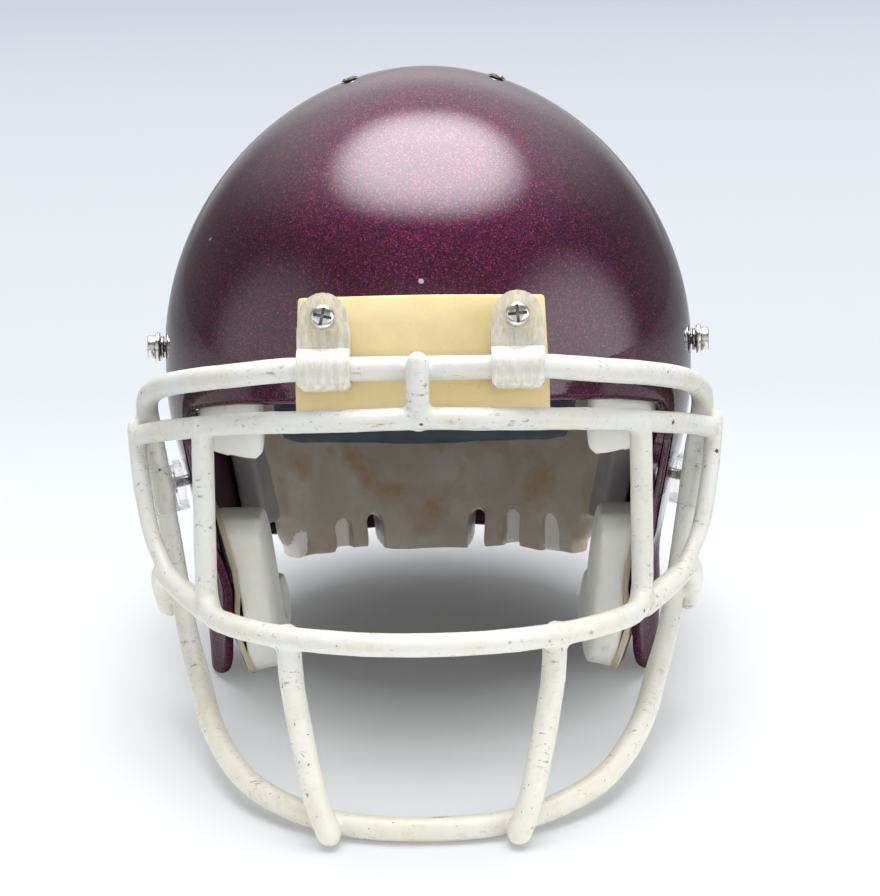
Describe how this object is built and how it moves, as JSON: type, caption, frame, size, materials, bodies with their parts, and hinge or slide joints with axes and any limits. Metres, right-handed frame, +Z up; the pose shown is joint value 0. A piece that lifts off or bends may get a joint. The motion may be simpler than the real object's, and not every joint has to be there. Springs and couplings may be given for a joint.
{
  "type": "football helmet",
  "caption": "Full-size football helmet with a lacquered shell, padded liner and a wire face guard that swings up on its brow clips.",
  "frame": {"origin": "on the surface that the helmet stands on, under the middle of its bounding box", "axes": "+Z up; the face looks along -Y, so Y is the long way from the chin bar to the nape; X runs across, with +X on the wearer's left as it faces the viewer"},
  "size_m": [0.2484, 0.3503, 0.262],
  "materials": {
    "maroon_lacquer": "gloss",
    "white_vinyl_coat": "satin",
    "cream_rubber": "matte",
    "clear_plastic": "gloss",
    "plated_steel": "polished",
    "navy_vinyl": "matte",
    "off_white_vinyl": "matte",
    "taupe_vinyl": "matte",
    "taupe_plastic": "matte",
    "dark_rubber": "matte"
  },
  "bodies": {
    "helmet": {"brow_clip_left": "clear_plastic", "brow_clip_right": "clear_plastic", "brow_nut_left": "plated_steel", "brow_nut_right": "plated_steel", "brow_screw_left": "plated_steel", "brow_screw_right": "plated_steel", "crown_pad": "off_white_vinyl", "front_pad": "navy_vinyl", "jaw_snap_left_1": "plated_steel", "jaw_snap_left_2": "plated_steel", "jaw_snap_right_1": "plated_steel", "jaw_snap_right_2": "plated_steel", "lateral_pad_left": "off_white_vinyl", "lateral_pad_right": "off_white_vinyl", "nape_pad": "taupe_vinyl", "nose_bumper": "cream_rubber", "rear_pad": "off_white_vinyl", "shell": "maroon_lacquer", "side_nut_left": "plated_steel", "side_nut_right": "plated_steel", "side_screw_left": "plated_steel", "side_screw_right": "plated_steel", "strap_nut_left": "plated_steel", "strap_nut_right": "plated_steel", "strap_stud_left": "plated_steel", "strap_stud_right": "plated_steel", "strap_washer_left": "plated_steel", "strap_washer_right": "plated_steel", "temple_pad_left": "off_white_vinyl", "temple_pad_right": "off_white_vinyl", "vent_grommet_left": "dark_rubber", "vent_grommet_right": "dark_rubber"},
    "face_guard": {"guard_centre_stub": "white_vinyl_coat", "guard_cheek_strut_left": "white_vinyl_coat", "guard_cheek_strut_right": "white_vinyl_coat", "guard_chin_strut_left": "white_vinyl_coat", "guard_chin_strut_right": "white_vinyl_coat", "guard_lower_brow_bar": "white_vinyl_coat", "guard_mouth_wire": "white_vinyl_coat", "guard_perimeter_wire": "white_vinyl_coat", "guard_side_arc_left": "white_vinyl_coat", "guard_side_arc_right": "white_vinyl_coat", "side_clip_left": "clear_plastic", "side_clip_right": "clear_plastic"},
    "jaw_pad_left": {"jaw_pad_left": "off_white_vinyl", "jaw_pad_base_left": "taupe_plastic"},
    "jaw_pad_right": {"jaw_pad_right": "off_white_vinyl", "jaw_pad_base_right": "taupe_plastic"}
  },
  "joints": [
    {"name": "face_guard_swing", "type": "hinge", "parent": "helmet", "child": "face_guard", "pos_m": [0, -0.11284, 0.167], "axis": [-1, 0, 0], "range_deg": [0, 100]},
    {"name": "jaw_pad_left_pull", "type": "slide", "parent": "helmet", "child": "jaw_pad_left", "axis": [1, 0, 0], "range_m": [0, 0.022]},
    {"name": "jaw_pad_right_pull", "type": "slide", "parent": "helmet", "child": "jaw_pad_right", "axis": [-1, 0, 0], "range_m": [0, 0.022]}
  ]
}
